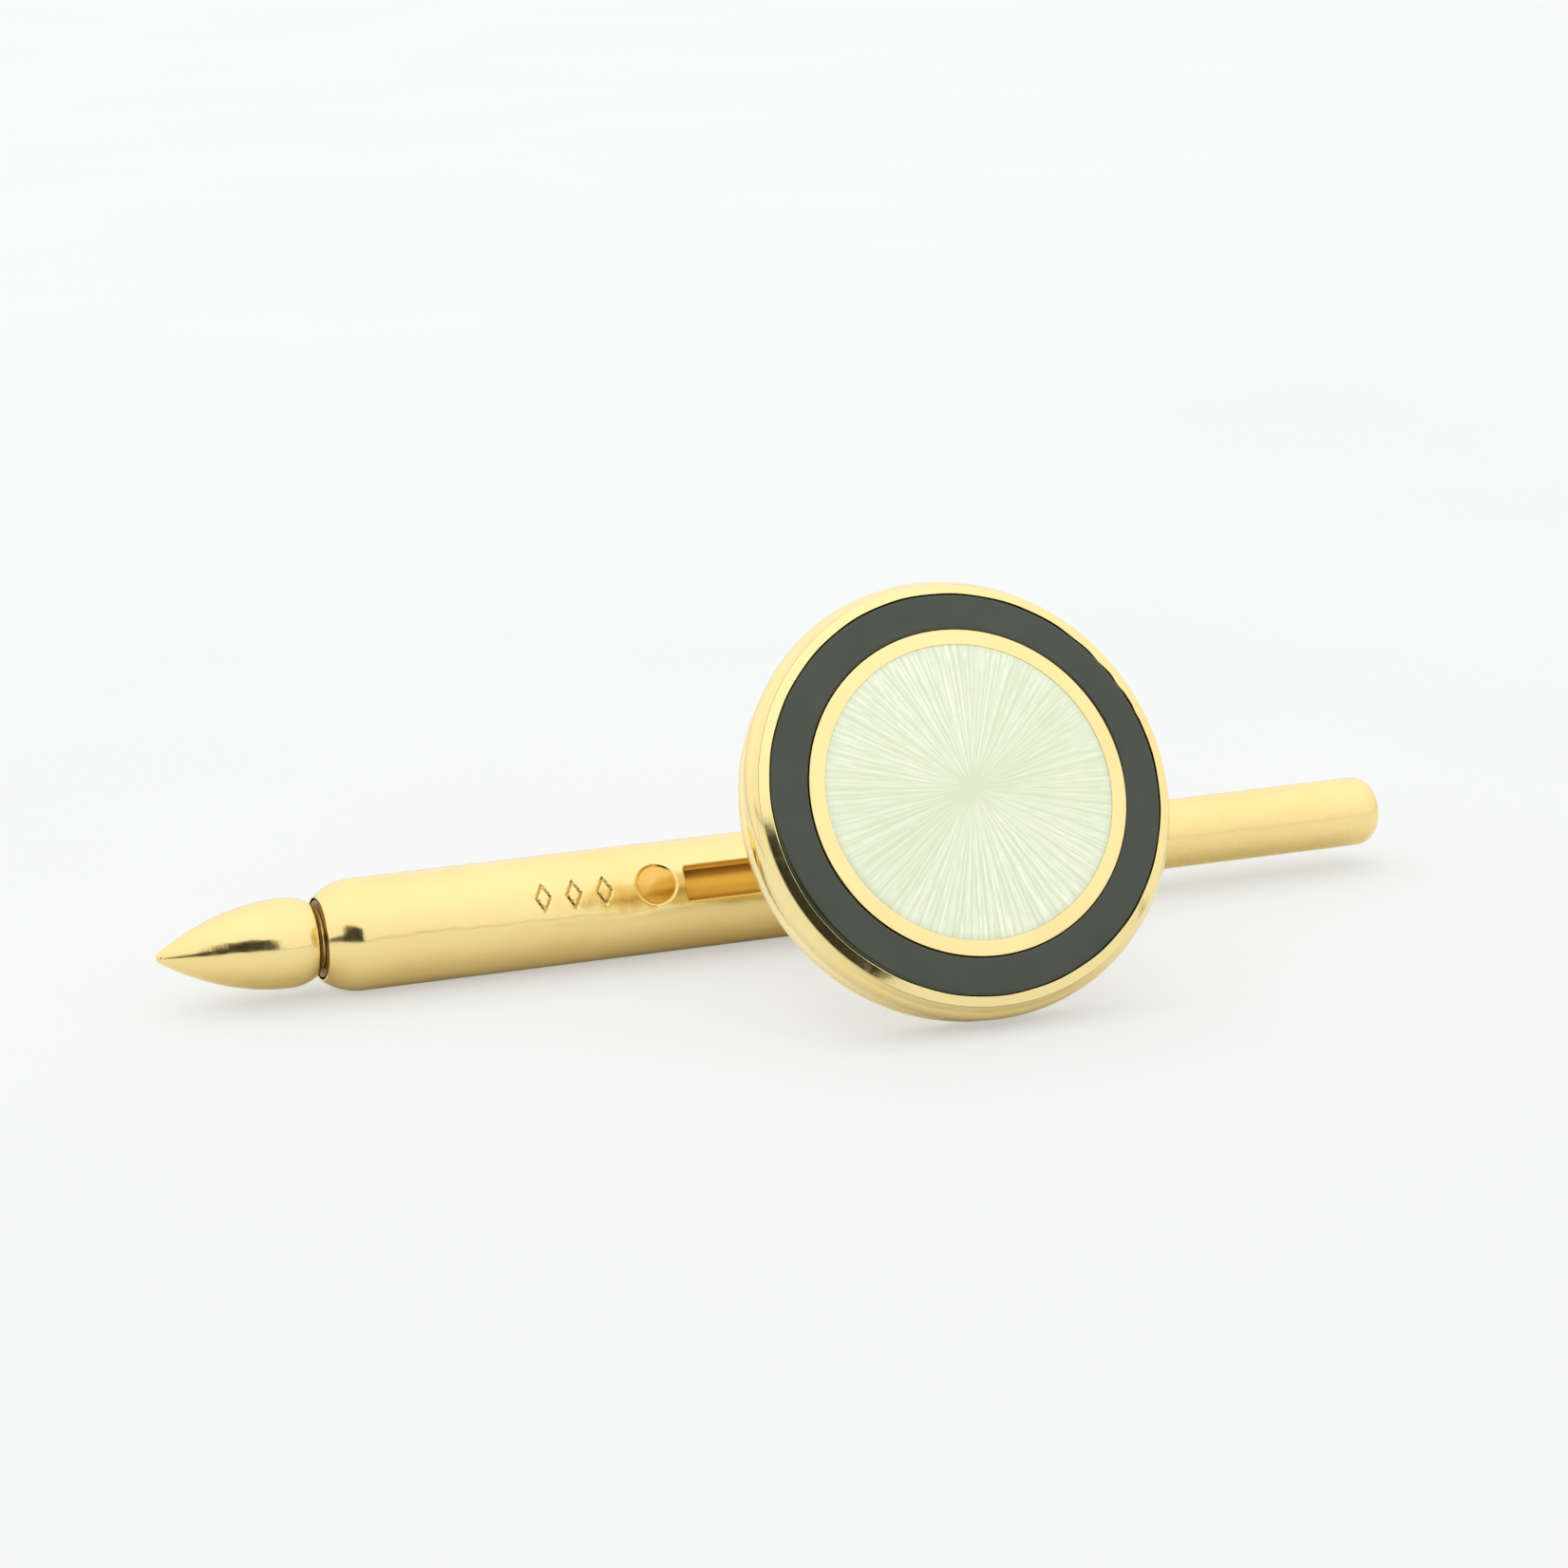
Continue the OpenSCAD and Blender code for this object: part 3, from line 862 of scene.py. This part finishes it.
def make_guide_bush():
    """The flanged bush at the open end of the tube."""
    hole_r = ROD_R + 0.03
    flange_r = TUBE_R - 0.1
    flange_right = TUBE_RIGHT + BUSH_FLANGE
    outline = eased([(hole_r, BUSH_LEFT, 0.03), (BORE_R, BUSH_LEFT, 0.03), (BORE_R, TUBE_RIGHT),
                     (flange_r, TUBE_RIGHT), (flange_r, flange_right, 0.08), (hole_r, flange_right, 0.05)])
    points, faces = turned(outline, about_bar, 160)
    return piece("flanged_bush", points, faces, TUBE_GOLD, "sleeve", "guide_bush")


def make_plug():
    """The plug that fills the shouldered end of the tube and takes the tip's screw."""
    plug_r = BORE_R - 0.002
    dish_r = BORE_R - PLUG_DISH
    outline = eased([(THREAD_R, PLUG_RIGHT), (plug_r, PLUG_RIGHT, 0.05), (plug_r, TUBE_LEFT + 0.5),
                     (dish_r, TUBE_LEFT + 0.2), (dish_r, TUBE_LEFT + 0.02, 0.03),
                     (THREAD_R, TUBE_LEFT + 0.02, 0.05)])
    # Its gold is painted dark brown, as painted shade in the narrow gap behind the tip
    points, faces = turned(outline, about_bar, 256)
    return piece("screw_plug", points, faces, PLUG_SHADE_GOLD, "sleeve", "threaded_bush")


def ogive(x):
    """The tip's radius between its blunt point and its waist, a little fuller towards the point."""
    r = BULLET_R - OGIVE_R + math.sqrt(OGIVE_R ** 2 - (x - BULLET_WAIST) ** 2)
    r += BLUNT_GAIN * math.exp(-(x - BULLET_TIP) / BLUNT_REACH)
    to_ball_middle = BULLET_TIP + BLUNT_R - x
    if to_ball_middle > 0:
        r = min(r, math.sqrt(BLUNT_R ** 2 - to_ball_middle ** 2))
    return r


def make_bullet():
    """The pointed tip: an ogive, a rounded base, a neck and its screw."""
    ogive_steps = 64
    base_steps = 24
    base_edge = 0.05
    outline = [(0, BULLET_TIP)]
    for i in range(1, ogive_steps + 1):
        x = BULLET_TIP + (BULLET_WAIST - BULLET_TIP) * (i / ogive_steps) ** 1.4
        outline.append((ogive(x), x))
    for i in range(1, base_steps + 1):
        x = BULLET_WAIST + (BULLET_BASE - BULLET_WAIST) * 0.96 * i / base_steps
        r = BULLET_R - BULLET_ROUND_R + math.sqrt(BULLET_ROUND_R ** 2 - (x - BULLET_WAIST) ** 2)
        outline.append((r, x))
    end_r = outline[-1][0]
    outline += arc(end_r - base_edge, BULLET_BASE - base_edge, base_edge, 10, 90, 5)
    outline += [(end_r - 0.12, BULLET_BASE), (NECK_R + 0.05, BULLET_BASE), (NECK_R, BULLET_BASE + 0.04),
                (NECK_R, TUBE_LEFT), (THREAD_R, TUBE_LEFT)]
    x = TUBE_LEFT + 0.02
    while x < THREAD_RIGHT:
        outline += [(THREAD_R - 0.005, x), (THREAD_R - THREAD_DEPTH, x + THREAD_PITCH / 2)]
        x += THREAD_PITCH
    outline += [(THREAD_R - 0.1, SCREW_END), (0, SCREW_END)]
    points, faces = turned(outline, about_bar, 256, closed=False)
    return piece("bullet", points, faces, TUBE_GOLD, "sleeve", "bullet_tip")


def make_spring():
    """The compression spring inside the tube, with flat end turns."""
    wire = 2 * WIRE_R
    free = PISTON_FRONT - PLUG_RIGHT - wire
    end_turn = 0.9 * wire
    climb_from = 0.8
    rings = TURNS * RINGS_PER_TURN
    points = []
    for i in range(rings + 1):
        turn = i / RINGS_PER_TURN
        ends = end_turn * (min(turn, 1) + max(turn - TURNS + 1, 0))
        climb = min(max((turn - climb_from) / (TURNS - 2 * climb_from), 0), 1)
        x = PLUG_RIGHT + WIRE_R + ends + climb * (free - 2 * end_turn)
        for k in range(WIRE_SIDES):
            b = 2 * math.pi * k / WIRE_SIDES
            points.append(about_bar(SPRING_R + WIRE_R * math.cos(b), x + WIRE_R * math.sin(b),
                                    math.pi / 2 - 2 * math.pi * turn))
    faces = []
    for i in range(rings):
        here = i * WIRE_SIDES
        after = here + WIRE_SIDES
        for k in range(WIRE_SIDES):
            n = (k + 1) % WIRE_SIDES
            faces.append([here + k, here + n, after + n, after + k])
    faces.append(list(range(WIRE_SIDES)))
    faces.append([rings * WIRE_SIDES + k for k in reversed(range(WIRE_SIDES))])
    coil = piece("coil_spring", points, faces, SPRING_WIRE, "stud", "return_spring",
                 sharp_angle=60)
    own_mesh(coil)
    return coil


make_bezel()
make_face_plate()
make_black_ring()
make_pale_disc()
make_back_plate()
make_post()
make_rod()
make_tube()
make_guide_bush()
make_plug()
make_bullet()
make_spring()


# ---------------------------------------------------------------------------------- floor, light, camera

CARD_DISTANCE = 0.3
FLOOR_HALF = 0.9
UNDER_DROP = 0.05 * MM
CAMERA_TARGET = Vector((-2.218, -0.864, 5.963)) * MM
CAMERA_DISTANCE = 127.18 * MM
CAMERA_AZIMUTH = math.radians(-20.066)
CAMERA_ELEVATION = math.radians(14.932)
CAMERA_ROLL = math.radians(1.247)
CAMERA_LENS = 109.03


def dark_card(name, outline, colour):
    """A dark card on the horizon, which only reflections see.

    The outline is in degrees of azimuth and elevation as seen from the stud; azimuth 0 is along -Y, and it
    grows towards +X.
    """
    corners = []
    for azimuth, elevation in outline:
        across = math.tan(math.radians(azimuth))
        up = math.tan(math.radians(elevation)) * math.hypot(1, across)
        corners.append(Vector((across, -1, up)) * CARD_DISTANCE)
    mesh = bpy.data.meshes.new(name)
    mesh.from_pydata(corners, [], [list(range(len(corners)))])
    made = bpy.data.materials.new(name)
    made.use_nodes = True
    tree = made.node_tree
    tree.nodes.clear()
    glow = node(tree, "ShaderNodeEmission", {"Color": (*colour, 1)})
    node(tree, "ShaderNodeOutputMaterial", {"Surface": glow.outputs[0]})
    mesh.materials.append(made)
    obj = bpy.data.objects.new(name, mesh)
    bpy.context.scene.collection.objects.link(obj)
    obj.visible_camera = False
    obj.visible_diffuse = False
    obj.visible_shadow = False


def make_floor(name, height, low, high, glow):
    """A plain pale sheet, slightly uneven in tone; one that glows a little keeps its shadows light."""
    mesh = bpy.data.meshes.new(name)
    corners = [(x * FLOOR_HALF, y * FLOOR_HALF, height) for x, y in ((-1, -1), (1, -1), (1, 1), (-1, 1))]
    mesh.from_pydata(corners, [], [(0, 1, 2, 3)])
    made, tree, shader = material(name)
    grain = node(tree, "ShaderNodeTexNoise", {"Vector": in_mm(tree), "Scale": 0.05, "Detail": 2.0})
    tree.links.new(ramp(tree, grain.outputs["Fac"], [(0.3, low), (0.7, high)]), shader.inputs["Base Color"])
    shader.inputs["Emission Color"].default_value = (1.0, 1.0, 0.99, 1)
    shader.inputs["Emission Strength"].default_value = glow
    shader.inputs["Roughness"].default_value = 0.9
    shader.inputs["Specular IOR Level"].default_value = 0.1
    mesh.materials.append(made)
    obj = bpy.data.objects.new(name, mesh)
    bpy.context.scene.collection.objects.link(obj)
    return obj


def make_floors():
    """The sheet that the camera sees, and one just under it that reflections and bounced light see."""
    seen = make_floor("pale_sheet", height=0.0, glow=0.447,
                      low=(0.380, 0.387, 0.379), high=(0.390, 0.397, 0.389))
    seen.visible_glossy = False
    seen.visible_diffuse = False
    seen.visible_shadow = False
    under = make_floor("under_sheet", height=-UNDER_DROP, glow=0.0,
                       low=(0.770, 0.780, 0.772), high=(0.780, 0.790, 0.782))
    under.visible_camera = False
    under.visible_shadow = False


def make_world():
    """An even white tent, dim at the horizon and a little brighter overhead."""
    world = bpy.data.worlds.new("tent")
    bpy.context.scene.world = world
    world.use_nodes = True
    tree = world.node_tree
    tree.nodes.clear()
    coordinates = node(tree, "ShaderNodeTexCoord")
    parts = node(tree, "ShaderNodeSeparateXYZ", {"Vector": coordinates.outputs["Generated"]})
    colour = ramp(tree, parts.outputs["Z"], [
        (0.0, (0.50, 0.50, 0.49)), (0.018, (0.62, 0.62, 0.61)), (0.045, (1.02, 1.03, 1.03)),
        (0.35, (1.10, 1.11, 1.12)), (1.0, (1.26, 1.28, 1.32))])
    glow = node(tree, "ShaderNodeBackground", {"Color": colour, "Strength": 1.0})
    node(tree, "ShaderNodeOutputWorld", {"Surface": glow.outputs[0]})


def make_lamp(name, position, size, energy, colour):
    """A soft square lamp that points at the stud, and that reflections don't show."""
    data = bpy.data.lights.new(name, "AREA")
    data.shape = "SQUARE"
    data.size = size
    data.energy = energy
    data.color = colour
    obj = bpy.data.objects.new(name, data)
    obj.location = position
    obj.rotation_euler = Vector(position).to_track_quat("Z", "Y").to_euler()
    bpy.context.scene.collection.objects.link(obj)
    obj.visible_glossy = False


def make_camera():
    """The camera, low and to the left, looking slightly down with a small roll."""
    level = math.cos(CAMERA_ELEVATION)
    back = Vector((math.sin(CAMERA_AZIMUTH) * level, -math.cos(CAMERA_AZIMUTH) * level,
                   math.sin(CAMERA_ELEVATION)))
    level_up = (Vector((0, 0, 1)) - back * back.z).normalized()
    level_right = level_up.cross(back)
    up = level_up * math.cos(CAMERA_ROLL) + level_right * math.sin(CAMERA_ROLL)
    right = up.cross(back)
    data = bpy.data.cameras.new("camera")
    data.lens = CAMERA_LENS
    data.sensor_width = 36
    data.clip_start = 0.001
    data.clip_end = 10
    obj = bpy.data.objects.new("camera", data)
    turn = Matrix((right, up, back)).transposed().to_4x4()
    obj.matrix_world = Matrix.Translation(CAMERA_TARGET + back * CAMERA_DISTANCE) @ turn
    bpy.context.scene.collection.objects.link(obj)
    bpy.context.scene.camera = obj


make_camera()
make_floors()
make_world()
make_lamp("overhead", position=(-0.15, 0.25, 0.45), size=0.5, energy=0.35, colour=(1.0, 0.99, 0.97))
bpy.context.scene.view_settings.view_transform = "Standard"

# The dark opening round the camera, and a dimmer strip to its left, that the gold reflects
DARK_OUTLINE = [(-36, 0), (0, 0), (0, 28), (-12, 31), (-36, 34)]
DIM_OUTLINE = [(-62, 0), (-36, 0), (-36, 14), (-62, 6)]
dark_card("dark_opening", DARK_OUTLINE, (0.035, 0.034, 0.026))
dark_card("dim_strip", DIM_OUTLINE, (0.13, 0.125, 0.10))
